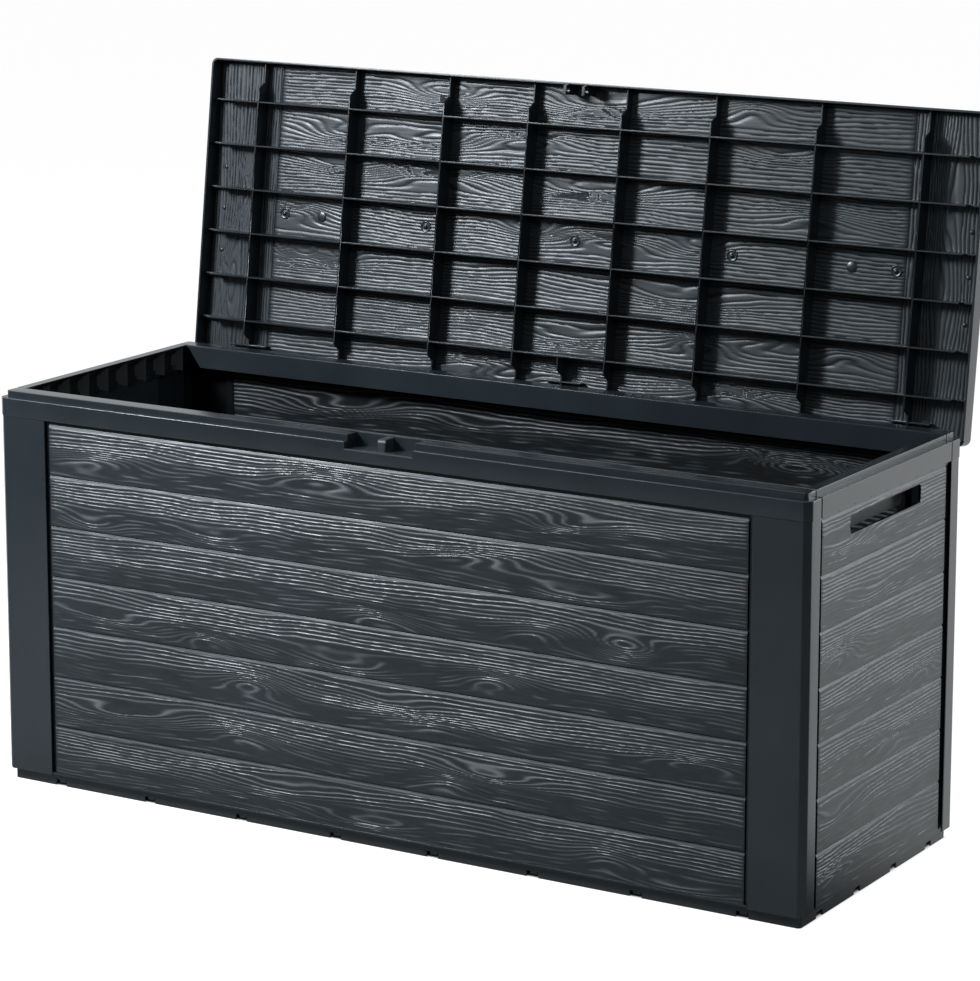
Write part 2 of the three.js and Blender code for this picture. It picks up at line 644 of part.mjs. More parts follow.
// A hinge knuckle, the plate that carries it, the heel that meets the rear rim when the lid is open,
// and the bar that stiffens the skin above.
function knuckle(x) {
  const half = NOTCH_WIDTH / 2 - KNUCKLE_END_GAP;
  const face = HINGE_INSET + CLEARANCE;
  const heel = [[face, -KNUCKLE_RADIUS / 2], [face, -HEEL_REACH], [face + HEEL_THICKNESS, -HEEL_REACH],
    [HEEL_ROOT, -KNUCKLE_RADIUS / 2]].map(closedPoint);
  const barY = LID_REAR - HINGE_BAR_SETBACK;
  return joined([
    block([x - half, x + half], [LID_REAR - LID_SKIN, LID_REAR],
      [0, LID_SEAT + REAR_RELIEF + OVERLAP]),
    rodAlongX(x - half, x + half, 0, 0, KNUCKLE_RADIUS),
    alongX(heel, x - half, x + half),
    block([x - half, x + half], [barY - LID_RIB / 2, barY + LID_RIB / 2],
      [RIB_STEP, LID_UNDERSIDE + OVERLAP]),
  ]);
}

// Two cheeks behind the front edge that stand beside the padlock lug when the lid is closed.
function hasp() {
  const inner = LUG_WIDTH / 2 + CHEEK_GAP;
  const front = LID_FRONT + LID_SKIN / 2;
  const back = LID_FRONT + CHEEK_BACK - LID_INSET;
  const foot = LID_SEAT - CHEEK_DROP;
  const root = LID_UNDERSIDE + OVERLAP;
  const cheek = [[front, LID_SEAT], [front + LID_SKIN, foot], [back, foot], [back, root], [front, root]];
  const cheeks = [inner, -inner - CHEEK_THICKNESS].map((x) => alongX(cheek, x, x + CHEEK_THICKNESS));
  const reach = inner + CHEEK_THICKNESS + OVERLAP;
  const hole = rodAlongX(-reach, reach, SHACKLE_Y - AXIS_Y, SHACKLE_HEIGHT - AXIS_Z, SHACKLE_HOLE / 2);
  return { cheeks, hole };
}

function lid() {
  const latch = hasp();
  const hinges = [-HINGE_SPACING, 0, HINGE_SPACING];
  const rows = lidRowLines();
  const front = LID_FRONT + LID_SKIN / 2;
  const whole = joined([
    lidShell(),
    ...LID_RIBS_X.flatMap((x) => [depthRib(x, front), depthRib(-x, front)]),
    ...rows.map(lengthRib),
    depthRib(0, rows[rows.length - 1]),
    ...hinges.map(knuckle),
    ...latch.cheeks,
  ]);
  const bores = hinges.map((x) => rodAlongX(
    x - NOTCH_WIDTH / 2, x + NOTCH_WIDTH / 2, 0, 0, PIN_RADIUS + PIN_CLEARANCE));
  return cut(whole, [...bores, latch.hole, ...lidJoints()]);
}

function hingePin() {
  const reach = BORE_REACH - CLEARANCE;
  return rodAlongX(-reach, reach, 0, 0, PIN_RADIUS);
}

// ---------------------------------------------------------------- scene graph

const anthracite = { color: 0x353c42, roughness: 0.5, metalness: 0 };
const pinPlastic = { color: 0x15181a, roughness: 0.4, metalness: 0 };

function meshOf(name, solid, finish) {
  const { vertProperties, triVerts, numProp } = solid.getMesh();
  const geometry = new THREE.BufferGeometry();
  const places = new Float32Array((vertProperties.length / numProp) * 3);
  for (let i = 0; i < places.length / 3; i += 1) {
    places.set(vertProperties.subarray(i * numProp, i * numProp + 3), i * 3);
  }
  geometry.setAttribute('position', new THREE.BufferAttribute(places, 3));
  geometry.setIndex(new THREE.BufferAttribute(new Uint32Array(triVerts), 1));
  geometry.computeVertexNormals();
  const mesh = new THREE.Mesh(geometry, new THREE.MeshStandardMaterial(finish));
  mesh.name = name;
  return mesh;
}

const box = new THREE.Group();

box.add(meshOf('floor_tray', floorTray(), anthracite));
box.add(meshOf('front_panel', frontPanel(), anthracite));
box.add(meshOf('right_panel', sidePanel(), anthracite));

const rear = meshOf('rear_panel', rearPanel(), anthracite);
rear.rotation.z = Math.PI;
box.add(rear);

const left = meshOf('left_panel', sidePanel(), anthracite);
left.rotation.z = Math.PI;
box.add(left);

const hinge = new THREE.Group();
hinge.position.set(0, AXIS_Y, AXIS_Z);
box.add(hinge);

for (const [name, x] of [['left', -HINGE_SPACING], ['middle', 0], ['right', HINGE_SPACING]]) {
  const pin = meshOf(`hinge_pin_${name}`, hingePin(), pinPlastic);
  pin.position.x = x;
  hinge.add(pin);
}

const openLid = new THREE.Group();
openLid.rotation.x = THREE.MathUtils.degToRad(-OPEN_ANGLE);
openLid.add(meshOf('lid', lid(), anthracite));
hinge.add(openLid);

export default box;
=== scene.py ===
"""Deck storage box: grained wall panels, rim, floor tray and open ribbed lid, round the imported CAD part."""

import bmesh
import bpy
import json
import math
import numpy as np
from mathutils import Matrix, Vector


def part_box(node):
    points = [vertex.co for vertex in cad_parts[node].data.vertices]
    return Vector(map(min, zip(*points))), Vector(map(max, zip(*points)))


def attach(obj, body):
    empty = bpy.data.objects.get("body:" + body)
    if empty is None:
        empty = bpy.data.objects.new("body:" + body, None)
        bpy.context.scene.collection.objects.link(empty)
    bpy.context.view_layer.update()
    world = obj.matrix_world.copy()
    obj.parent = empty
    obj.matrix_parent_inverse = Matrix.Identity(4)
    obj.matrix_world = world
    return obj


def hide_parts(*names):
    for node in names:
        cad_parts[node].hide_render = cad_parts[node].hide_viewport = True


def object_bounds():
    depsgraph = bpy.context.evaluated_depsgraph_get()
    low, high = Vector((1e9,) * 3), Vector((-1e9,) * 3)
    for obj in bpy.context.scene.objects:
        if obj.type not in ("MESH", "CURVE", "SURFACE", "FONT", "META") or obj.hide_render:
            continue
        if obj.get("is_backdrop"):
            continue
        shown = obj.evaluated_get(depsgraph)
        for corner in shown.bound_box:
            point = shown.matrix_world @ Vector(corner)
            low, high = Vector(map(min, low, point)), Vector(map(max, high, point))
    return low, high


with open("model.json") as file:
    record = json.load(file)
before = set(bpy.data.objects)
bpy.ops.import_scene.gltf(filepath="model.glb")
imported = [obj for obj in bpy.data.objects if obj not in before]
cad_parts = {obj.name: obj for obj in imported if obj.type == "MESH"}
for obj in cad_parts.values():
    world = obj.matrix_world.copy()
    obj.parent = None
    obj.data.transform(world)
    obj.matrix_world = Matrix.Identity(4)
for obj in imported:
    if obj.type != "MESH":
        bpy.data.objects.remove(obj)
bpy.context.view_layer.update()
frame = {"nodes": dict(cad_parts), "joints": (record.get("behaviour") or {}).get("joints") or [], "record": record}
scene = bpy.context.scene
MM = 0.001

# ------------------------------------------------------------------ sizes, in millimetres

box_low, box_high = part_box("front_panel")
HALF_LENGTH = box_high.x / MM
HALF_DEPTH = -box_low.y / MM
RIM_TOP = box_high.z / MM
RIDGE_RISE = 8.0
BAND_HEIGHT = 24.0
SHADOW_LINE = 4.0
BAND_FOOT = RIM_TOP - RIDGE_RISE - BAND_HEIGHT
PLANK_FOOT = 15.5
PLANK_TOP = BAND_FOOT - SHADOW_LINE
PLANK_COUNT = 7
INNER_SIDE_PLANKS = 5
PLANK_PITCH = (PLANK_TOP - PLANK_FOOT) / PLANK_COUNT
PLANK_INSET = 3.6
WALL = 2.8
JOINT_DEPTH = 2.2
JOINT_BEVEL = 4.2
FIELD_X = 501.0
HANDLE_WIDTH = 192.0
HANDLE_HEIGHT = 23.0
HANDLE_MIDDLE = 459.5
HANDLE_RADIUS = 5.0
CUT_REACH = 5.0
GRIP_SETBACK = 28.0
GRIP_FOOT = 440.0
COMB_FOOT = 478.0
RIDGE_WALL = 3.2
LUG_HALF = 8.0
LUG_REAR = 183.0
POCKET_FLOOR = 497.0
CORNER_RETURN = 30.0
SEAM_GAP = 1.6
SEAM_GROOVE = 7.5
SIDE_SPAN = HALF_DEPTH - CORNER_RETURN - SEAM_GAP - SEAM_GROOVE

HINGE = next(j for j in frame["joints"] if j["name"] == "lid_hinge")
AXIS = np.array(HINGE["pos_m"]) / MM
OPEN_TURN = math.radians(-HINGE["range_deg"][0])
LID_FRONT = -408.5
LID_REAR = 1.7
LID_HALF = 576.0
LID_TOP = 38.6
LID_UNDER = LID_TOP - WALL
LID_EDGE_BOARD = 56.1
LID_BOARD_COUNT = 7
LID_BOARD_PITCH = (LID_REAR - LID_FRONT - 2 * LID_EDGE_BOARD) / (LID_BOARD_COUNT - 2)
LID_ROWS = [LID_FRONT + LID_EDGE_BOARD + i * LID_BOARD_PITCH for i in range(LID_BOARD_COUNT - 1)]
LID_SKIRT = 3.2
LID_END_JOINT = 471.0

GRAIN_DEPTH = 0.95
GRAIN_LIFT = 0.2
END_FADE = 2.0

# ------------------------------------------------------------------ grain


def lattice_noise(u, v, seed):
    """Smooth noise from -1 to 1 over points given in cells."""
    table = np.random.RandomState(seed).uniform(-1.0, 1.0, (128, 128))
    iu, iv = np.floor(u).astype(int), np.floor(v).astype(int)
    fu, fv = u - iu, v - iv
    fu, fv = fu * fu * (3 - 2 * fu), fv * fv * (3 - 2 * fv)
    a = table[iv % 128, iu % 128]
    b = table[iv % 128, (iu + 1) % 128]
    c = table[(iv + 1) % 128, iu % 128]
    d = table[(iv + 1) % 128, (iu + 1) % 128]
    return (a * (1 - fu) + b * fu) * (1 - fv) + (c * (1 - fu) + d * fu) * fv


def grain_lines(u, v, length, width, seed, calm):
    """How far the grain stands up, 0 to 1: lines along u that wave, run round knots and fade in places.

    calm is the share of the board, from its foot, in which the lines break up into short dashes."""
    pick = np.random.RandomState(seed)
    spacing = pick.uniform(4.3, 5.2)
    rings = v / spacing
    rings = rings + 1.3 * lattice_noise(u / 230 + 7, v / 70, seed + 1)
    rings = rings + 0.50 * lattice_noise(u / 80, v / 24, seed + 2)
    rings = rings + 0.14 * lattice_noise(u / 22, v / 8, seed + 3)
    knot = np.zeros_like(rings)
    for _ in range(max(1, int(round(length / 260)))):
        at_u, at_v = pick.uniform(0.03, 0.97) * length, pick.uniform(0.10, 0.60) * width
        reach_u, reach_v = pick.uniform(38, 100), pick.uniform(9, 16)
        lift = pick.uniform(2.2, 4.2) * pick.choice([-1, 1])
        skew = pick.uniform(-0.10, 0.10)
        du, dv = u - at_u, v - at_v - skew * (u - at_u)
        near = np.exp(-((du / reach_u) ** 2) - (dv / reach_v) ** 2)
        rings = rings + lift * near
        knot = np.maximum(knot, near)
    line = np.floor(rings)
    part = rings - line
    strength = 0.90 + 0.26 * lattice_noise(line * 1.37 + 0.5, u / 260 + line * 0.61, seed + 5)
    strength = strength + 0.22 * lattice_noise(line * 2.1, u / 40, seed + 6)
    dashes = np.clip(0.30 + 1.3 * lattice_noise(line * 3.3 + 0.2, u / 26, seed + 7), 0.0, 1.0)
    edge = calm + 0.16 * lattice_noise(u / 110, v / 60, seed + 8)
    whole = np.clip((v / width - edge) / 0.16, 0.0, 1.0)
    whole = np.maximum(whole, np.clip(1.8 * knot - 0.8, 0.0, 0.8))
    strength = strength * (whole + (1.0 - whole) * dashes * 0.62)
    ridge = np.exp(-(((part - 0.5) / (0.15 + 0.03 * lattice_noise(u / 60, line, seed + 10))) ** 2))
    fibre = 0.5 + 0.5 * lattice_noise(u / 14, v / 1.3, seed + 9)
    return np.clip(ridge * np.clip(strength, 0.0, 1.0) + 0.08 * fibre, 0.0, 1.0)


class Relief:
    """Grained slabs gathered into one mesh."""

    def __init__(self):
        self.points, self.faces, self.grain, self.count = [], [], [], 0

    def slab(self, place, length, rows, seed, step, sign=1.0, back=-2.5, depth=GRAIN_DEPTH, calm=0.36):
        """place(u, v, d) gives points; rows are (v, base depth, grain share, least tone) across the slab. The
        least tone is a painted highlight: a floor on how pale the colour grows.
        """
        nu = max(2, int(length / step) + 1)
        u = np.linspace(0.0, length, nu)
        v = np.array([r[0] for r in rows])
        base = np.array([r[1] for r in rows])
        share = np.array([r[2] for r in rows])
        tone = np.array([r[3] if len(r) > 3 else 0.0 for r in rows])
        uu, vv = np.meshgrid(u, v)
        lines = grain_lines(uu, vv, length, float(v[-1]), seed, calm)
        ends = np.clip(np.minimum(uu, length - uu) / END_FADE, 0.0, 1.0)
        lift = lines if sign > 0 else 1.0 - lines
        height = base[:, None] + GRAIN_LIFT + depth * lift * share[:, None] * ends
        nv = len(rows)
        front = place(uu.ravel(), vv.ravel(), height.ravel())
        index = np.arange(nu * nv).reshape(nv, nu) + self.count
        quads = np.stack([index[:-1, :-1], index[:-1, 1:], index[1:, 1:], index[1:, :-1]], -1).reshape(-1, 4)
        ring = np.concatenate([index[0, :], index[1:, -1], index[-1, -2::-1], index[-2:0:-1, 0]])
        flat = ring - self.count
        behind = place(uu.ravel()[flat], vv.ravel()[flat], np.full(len(flat), back))
        low = np.arange(len(ring)) + self.count + nu * nv
        sides = np.stack([np.roll(ring, -1), ring, low, np.roll(low, -1)], -1)
        self.points += [front, behind]
        self.faces += [quads.tolist(), sides.tolist(), [low[::-1].tolist()]]
        # This attribute pulls the colour towards the pale second colour on the relief's high parts and on toned
        # rows: a painted highlight.
        self.grain += [np.maximum(lift * share[:, None] * ends, tone[:, None]).ravel(), np.zeros(len(ring))]
        self.count += nu * nv + len(ring)

    def piece(self, name, body, slot, material, cutter=None):
        mesh = bpy.data.meshes.new(name)
        points = np.concatenate(self.points) * MM
        faces = [face for group in self.faces for face in group]
        mesh.from_pydata(points.tolist(), [], faces)
        attribute = mesh.attributes.new("grain", "FLOAT", "POINT")
        attribute.data.foreach_set("value", np.concatenate(self.grain).astype(np.float32))
        mesh.validate()
        bm = bmesh.new()
        bm.from_mesh(mesh)
        bmesh.ops.recalc_face_normals(bm, faces=bm.faces)
        for edge in bm.edges:
            edge.smooth = edge.calc_face_angle(0.0) < math.radians(50)
        for face in bm.faces:
            face.smooth = True
        bm.to_mesh(mesh)
        bm.free()
        if cutter:
            mesh = opened(mesh, cutter)
        return adopt(mesh, name, body, material)


def slot_cutter(x_low, x_high):
    """A bar as long and as round-cornered as the handle slot."""
    bm = bmesh.new()
    half_y, radius, turns = HANDLE_WIDTH / 2, HANDLE_RADIUS, 5
    ring = []
    for sy, sz, start in ((1, 1, 0.0), (-1, 1, 0.5), (-1, -1, 1.0), (1, -1, 1.5)):
        for k in range(turns + 1):
            angle = math.pi * (start + 0.5 * k / turns)
            y = sy * (half_y - radius) + radius * math.cos(angle)
            z = HANDLE_MIDDLE + sz * (HANDLE_HEIGHT / 2 - radius) + radius * math.sin(angle)
            ring.append((y, z))
    ends = [[bm.verts.new((x * MM, y * MM, z * MM)) for y, z in ring] for x in (x_low, x_high)]
    bm.faces.new(ends[0][::-1])
    bm.faces.new(ends[1])
    for k in range(len(ring)):
        after = (k + 1) % len(ring)
        bm.faces.new([ends[0][k], ends[0][after], ends[1][after], ends[1][k]])
    bmesh.ops.recalc_face_normals(bm, faces=bm.faces)
    mesh = bpy.data.meshes.new("slot_cutter")
    bm.to_mesh(mesh)
    bm.free()
    return mesh


def opened(mesh, cutter):
    """The mesh with the cutter's shape taken out of it."""
    whole = bpy.data.objects.new("uncut", mesh)
    tool = bpy.data.objects.new("cutter", cutter)
    for held in (whole, tool):
        scene.collection.objects.link(held)
    cut = whole.modifiers.new("cut", "BOOLEAN")
    cut.operation, cut.solver, cut.object = "DIFFERENCE", "EXACT", tool
    bpy.context.view_layer.update()
    result = bpy.data.meshes.new_from_object(whole.evaluated_get(bpy.context.evaluated_depsgraph_get()))
    for held in (whole, tool):
        bpy.data.objects.remove(held)
    result.name = mesh.name
    return result


def adopt(mesh, name, body, material):
    piece = bpy.data.objects.new(name, mesh)
    scene.collection.objects.link(piece)
    mesh.materials.clear()
    mesh.materials.append(material)
    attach(piece, body)
    return piece


def plank_rows(low, high, step, first, bevel_highlight):
    """Across an outer plank: a lip at its foot, the grained face and a bevel that leans back at the top.

    worn is how pale the upper edge is painted: a painted highlight where the bevel catches the light from above."""
    start = 0.0 if first else 0.4
    rows = [(start, -0.4, 0.0), (start + 0.5, 0.0, 0.3)]
    width = high - low
    face_top = width - JOINT_BEVEL
    for v in np.arange(start + 1.1, face_top - 0.7, step):
        rows.append((float(v), 0.0, min(1.0, (v - start) / 3.0, (face_top - v) / 2.0 + 0.35)))
    # The tone on these top bevel rows is a painted highlight where the bevel catches light from above.
    rows += [(face_top - 0.1, 0.0, 0.2, 0.3 * bevel_highlight), (face_top + 0.3, -0.05, 0.1, bevel_highlight),
             (face_top + 1.7, -0.75, 0.1, bevel_highlight), (face_top + 2.0, -0.86, 0.0, 0.0),
             (face_top + 3.3, -1.30, 0.0, 0.0), (width, -JOINT_DEPTH, 0.0, 0.0)]
    return rows


def flat_rows(width, step, edge=1.0, drop=0.5):
    """Across a flat board with softened edges."""
    rows = [(0.0, -drop, 0.0), (edge, 0.0, 0.5)]
    rows += [(float(v), 0.0, 1.0) for v in np.arange(edge + step, width - edge - step * 0.5, step)]
    rows += [(width - edge, 0.0, 0.5), (width, -drop, 0.0)]
    return rows


# ------------------------------------------------------------------ finishes


def socket(group, name, kind, way, value=None):
    made = group.interface.new_socket(name, in_out=way, socket_type=kind)
    if value is not None:
        made.default_value = value
    return made


def plastic_group():
    """Moulded plastic: slow colour drift, a pale painted highlight on the grain relief's high parts, fine fibres
    or mottling as height, and roughness to match.
    """
    group = bpy.data.node_groups.new("moulded_plastic", "ShaderNodeTree")
    socket(group, "Base", "NodeSocketColor", "INPUT", (0.04, 0.05, 0.06, 1))
    socket(group, "Highlight", "NodeSocketColor", "INPUT", (0.08, 0.09, 0.1, 1))
    socket(group, "Stretch", "NodeSocketVector", "INPUT", (1, 1, 1))
    socket(group, "Roughness", "NodeSocketFloat", "INPUT", 0.5)
    socket(group, "Mottle", "NodeSocketFloat", "INPUT", 0.15)
    socket(group, "Colour", "NodeSocketColor", "OUTPUT")
    socket(group, "Rough", "NodeSocketFloat", "OUTPUT")
    socket(group, "Height", "NodeSocketFloat", "OUTPUT")
    nodes, links = group.nodes, group.links
    given = nodes.new("NodeGroupInput")
    out = nodes.new("NodeGroupOutput")
    place = nodes.new("ShaderNodeTexCoord")
    grain = nodes.new("ShaderNodeAttribute")
    grain.attribute_name = "grain"
    stretched = nodes.new("ShaderNodeVectorMath")
    stretched.operation = "MULTIPLY"
    links.new(place.outputs["Object"], stretched.inputs[0])
    links.new(given.outputs["Stretch"], stretched.inputs[1])
    fibre = nodes.new("ShaderNodeTexNoise")
    fibre.inputs["Scale"].default_value = 420
    fibre.inputs["Detail"].default_value = 3
    links.new(stretched.outputs[0], fibre.inputs["Vector"])
    drift = nodes.new("ShaderNodeTexNoise")
    drift.inputs["Scale"].default_value = 9
    drift.inputs["Detail"].default_value = 2
    links.new(place.outputs["Object"], drift.inputs["Vector"])
    spread = nodes.new("ShaderNodeMapRange")
    spread.inputs["From Min"].default_value = 0.3
    spread.inputs["From Max"].default_value = 0.7
    spread.inputs["To Min"].default_value = 0.85
    spread.inputs["To Max"].default_value = 1.15
    links.new(drift.outputs[0], spread.inputs["Value"])
    # Painted highlight: the colour grows paler towards the second colour where the grain attribute is high.
    mixed = nodes.new("ShaderNodeMix")
    mixed.data_type = "RGBA"
    links.new(grain.outputs["Fac"], mixed.inputs["Factor"])
    links.new(given.outputs["Base"], mixed.inputs["A"])
    links.new(given.outputs["Highlight"], mixed.inputs["B"])
    toned = nodes.new("ShaderNodeVectorMath")
    toned.operation = "SCALE"
    links.new(mixed.outputs["Result"], toned.inputs[0])
    links.new(spread.outputs[0], toned.inputs["Scale"])
    links.new(toned.outputs[0], out.inputs["Colour"])
    less = nodes.new("ShaderNodeMath")
    less.operation = "SUBTRACT"
    less.inputs[1].default_value = 0.5
    links.new(fibre.outputs[0], less.inputs[0])
    swing = nodes.new("ShaderNodeMath")
    swing.operation = "MULTIPLY_ADD"
    links.new(less.outputs[0], swing.inputs[0])
    links.new(given.outputs["Mottle"], swing.inputs[1])
    links.new(given.outputs["Roughness"], swing.inputs[2])
    links.new(swing.outputs[0], out.inputs["Rough"])
    links.new(fibre.outputs[0], out.inputs["Height"])
    return group


PLASTIC = plastic_group()


def plastic(name, base, highlight_colour, stretch, roughness, mottle, bump, specular=0.5):
    """One plastic finish with its own values."""
    material = bpy.data.materials.new(name)
    material.use_nodes = True
    nodes, links = material.node_tree.nodes, material.node_tree.links
    shader = nodes["Principled BSDF"]
    shader.inputs["Specular IOR Level"].default_value = specular
    shader.inputs["Specular Tint"].default_value = (0.86, 0.94, 1.0, 1)
    made = nodes.new("ShaderNodeGroup")
    made.node_tree = PLASTIC
    made.inputs["Base"].default_value = (*base, 1)
    made.inputs["Highlight"].default_value = (*highlight_colour, 1)
    made.inputs["Stretch"].default_value = stretch
    made.inputs["Roughness"].default_value = roughness
    made.inputs["Mottle"].default_value = mottle
    relief = nodes.new("ShaderNodeBump")
    relief.inputs["Strength"].default_value = bump
    relief.inputs["Distance"].default_value = 0.0006
    links.new(made.outputs["Height"], relief.inputs["Height"])
    links.new(made.outputs["Colour"], shader.inputs["Base Color"])
    links.new(made.outputs["Rough"], shader.inputs["Roughness"])
    links.new(relief.outputs["Normal"], shader.inputs["Normal"])
    return material


# The second, paler colour of each grain finish is a painted highlight on the grain relief's high parts.
SLATE = (0.009, 0.014, 0.018)
SLATE_HIGHLIGHT = (0.130, 0.146, 0.158)
long_grain = plastic("long_grain", SLATE, SLATE_HIGHLIGHT, (0.07, 1, 1), 0.40, 0.22, 0.12)
side_grain = plastic("side_grain", SLATE, SLATE_HIGHLIGHT, (1, 0.07, 1), 0.42, 0.22, 0.15)
# The inner walls' darker base colour is painted shade.
INNER_SHADED_SLATE, INNER_HIGHLIGHT = (0.002, 0.003, 0.004), (0.085, 0.095, 0.105)
inner_grain_painted_shade = plastic("inner_wall_grain_painted_shade", INNER_SHADED_SLATE, INNER_HIGHLIGHT, (0.07, 1, 1), 0.46, 0.22, 0.12, 0.25)
LID_SLATE, LID_HIGHLIGHT = (0.004, 0.006, 0.008), (0.030, 0.037, 0.043)
lid_grain = plastic("lid_board_grain", LID_SLATE, LID_HIGHLIGHT, (0.07, 1, 1), 0.38, 0.25, 0.15, 0.42)
end_grain = plastic("end_board_grain", LID_SLATE, LID_HIGHLIGHT, (1, 0.15, 0.07), 0.38, 0.25, 0.15, 0.42)
satin = plastic("satin_slate", (0.014, 0.020, 0.025), (0.03, 0.04, 0.05), (1, 1, 1), 0.23, 0.08, 0.006, 0.62)
# A near-black finish on the post cavities: painted shade.
cavity_painted_shade = plastic("cavity_painted_shade", (0.0015, 0.002, 0.0025), (0.01, 0.01, 0.01), (1, 1, 1), 0.6, 0.1,
                       0.01, 0.1)
# Pale finish on the comb webs: painted light where the lamps barely reach.
comb_painted_light = plastic("comb_painted_light", (0.11, 0.12, 0.125), (0.06, 0.06, 0.06), (1, 1, 1), 0.4, 0.1, 0.01)
# Pale finish on the grip face behind each handle slot: painted light where the lamps barely reach.
grip_painted_light = plastic("grip_painted_light", (0.17, 0.185, 0.19), (0.06, 0.07, 0.08), (1, 1, 1), 0.35, 0.1, 0.01)
lug_satin = plastic("lug_satin", (0.020, 0.026, 0.031), (0.03, 0.04, 0.05), (1, 1, 1), 0.5, 0.08, 0.006, 0.4)
lid_satin = plastic("lid_satin", (0.009, 0.013, 0.017), (0.03, 0.04, 0.05), (1, 1, 1), 0.32, 0.10, 0.02)
tray_satin = plastic("tray_slate", (0.018, 0.024, 0.028), (0.03, 0.04, 0.05), (1, 1, 1), 0.45, 0.12, 0.02)
pin_black = plastic("pin_black", (0.008, 0.009, 0.010), (0.01, 0.01, 0.01), (1, 1, 1), 0.4, 0.1, 0.02)

# ------------------------------------------------------------------ moulded shells


def rounded(node, name, material, width, chosen, merge=True, others=()):
    """The node's shape with its chosen long outer edges rounded, and other materials on some faces, among them
    painted shade and painted light.
    """
    bm = bmesh.new()
    bm.from_mesh(frame["nodes"][node].data)
    bmesh.ops.remove_doubles(bm, verts=bm.verts, dist=4e-6)
    if merge:
        bmesh.ops.dissolve_limit(bm, angle_limit=math.radians(0.8), verts=bm.verts, edges=bm.edges)
    edges = [e for e in bm.edges if len(e.link_faces) == 2 and e.calc_length() > 4 * width * MM
             and e.calc_face_angle_signed(0.0) > math.radians(28) and chosen(e)]
    bmesh.ops.bevel(bm, geom=edges, offset=width * MM, offset_type="OFFSET", segments=2, profile=0.5,
                    affect="EDGES", clamp_overlap=False)
    bmesh.ops.triangulate(bm, faces=[f for f in bm.faces if len(f.verts) > 4])
    for edge in bm.edges:
        edge.smooth = edge.calc_face_angle(0.0) < math.radians(38)
    for face in bm.faces:
        face.smooth = True
    share = [next((i + 1 for i, (_, where) in enumerate(others)
                   if where(face.calc_center_median() / MM, face.normal)), 0) for face in bm.faces]
    mesh = bpy.data.meshes.new(name)
    bm.to_mesh(mesh)
    bm.free()
    piece = adopt(mesh, name, body_of[node], material)
    for other, _ in others:
        mesh.materials.append(other)
    mesh.polygons.foreach_set("material_index", share)
    even = piece.modifiers.new("even_shading", "WEIGHTED_NORMAL")
    even.keep_sharp = True
    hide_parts(node)
    return piece


body_of = {n: b for b, nodes in frame["record"]["behaviour"]["bodies"].items() for n in nodes}


def above(height):
    return lambda edge: min(v.co.z for v in edge.verts) > height * MM


def rim_or_post(edge):
    low = min(v.co.z for v in edge.verts)
    post = min(abs(v.co.x) for v in edge.verts) > (FIELD_X + 2) * MM
    return low > (BAND_FOOT - 1) * MM or post


def post_cavity(centre, normal):
    """Inside a corner post, below the rim's inner band; these faces take a near-black painted shade."""
    inward = -normal.y * math.copysign(1, centre.y) > 0.5 or -normal.x * math.copysign(1, centre.x) > 0.5
    behind = abs(centre.y) < HALF_DEPTH - 2 and abs(centre.x) < HALF_LENGTH - 2
    return abs(centre.x) > FIELD_X - 2 and centre.z < BAND_FOOT + 6 and inward and behind


def comb_web(centre, normal):
    """The webs under the ridge and the rail that they stand on, which take a pale finish as painted light."""
    under = abs(centre.x) < HALF_LENGTH - RIDGE_WALL and centre.z > COMB_FOOT
    return under and abs(normal.x) < 0.5 and normal.z < 0.5


def grip_face(centre, normal):
    """The outer face of the grip lip behind a handle slot, which takes a pale finish as painted light."""
    outward = normal.x * math.copysign(1, centre.x) > 0.5
    lip = HALF_LENGTH - GRIP_SETBACK
    return lip - 6 < abs(centre.x) < lip + 4 and centre.z > GRIP_FOOT and outward


def lug(centre, normal):
    """The padlock lug and its shackle hole."""
    return abs(centre.x) < LUG_HALF and centre.z > POCKET_FLOOR and centre.y < -LUG_REAR


# Post cavities take painted shade; comb webs and grip faces take painted light.
rounded("front_panel", "front_shell", satin, 1.4, rim_or_post, True,
        [(cavity_painted_shade, post_cavity), (lug_satin, lug)])
rounded("rear_panel", "rear_shell", satin, 1.0, rim_or_post, True,
        [(cavity_painted_shade, post_cavity)])
rounded("right_panel", "right_shell", satin, 0.6, above(BAND_FOOT - 1), False,
        [(comb_painted_light, comb_web), (grip_painted_light, grip_face)])
rounded("left_panel", "left_shell", satin, 0.6, above(BAND_FOOT - 1), False,
        [(comb_painted_light, comb_web), (grip_painted_light, grip_face)])
rounded("floor_tray", "tray_base", tray_satin, 0.6, above(-1))
rounded("lid", "lid_shell", lid_satin, 0.5, above(0), merge=False)
for pin in ("hinge_pin_left", "hinge_pin_middle", "hinge_pin_right"):
    frame["nodes"][pin].data.materials.clear()
    frame["nodes"][pin].data.materials.append(pin_black)

# ------------------------------------------------------------------ grained boards


def wall_place(origin, along, outward):
    """Maps (u, v, depth) on a wall to points: u along the wall, v up and depth outwards."""
    origin, along, outward = (np.array(a, float) for a in (origin, along, outward))
    up = np.array([0.0, 0.0, 1.0])
    return lambda u, v, d: origin + u[:, None] * along + v[:, None] * up + d[:, None] * outward


def joint_height(i):
    return PLANK_FOOT + i * PLANK_PITCH


def outer_planks(name, start, along, outward, length, planks, material, seed, step, row_step, bevel_highlight,
                 cutter=None):
    """Grained planks on a wall's outside. worn is how pale their upper edges are painted, a painted highlight on
    the top bevels.
    """
    relief = Relief()
    for i in planks:
        low, high = joint_height(i), joint_height(i + 1)
        place = wall_place((start[0], start[1], low), along, outward)
        relief.slab(place, length, plank_rows(low, high, row_step, i == 0, bevel_highlight), seed + 31 * i, step)
    return relief.piece(name, "box", "panel_plastic", material, cutter)


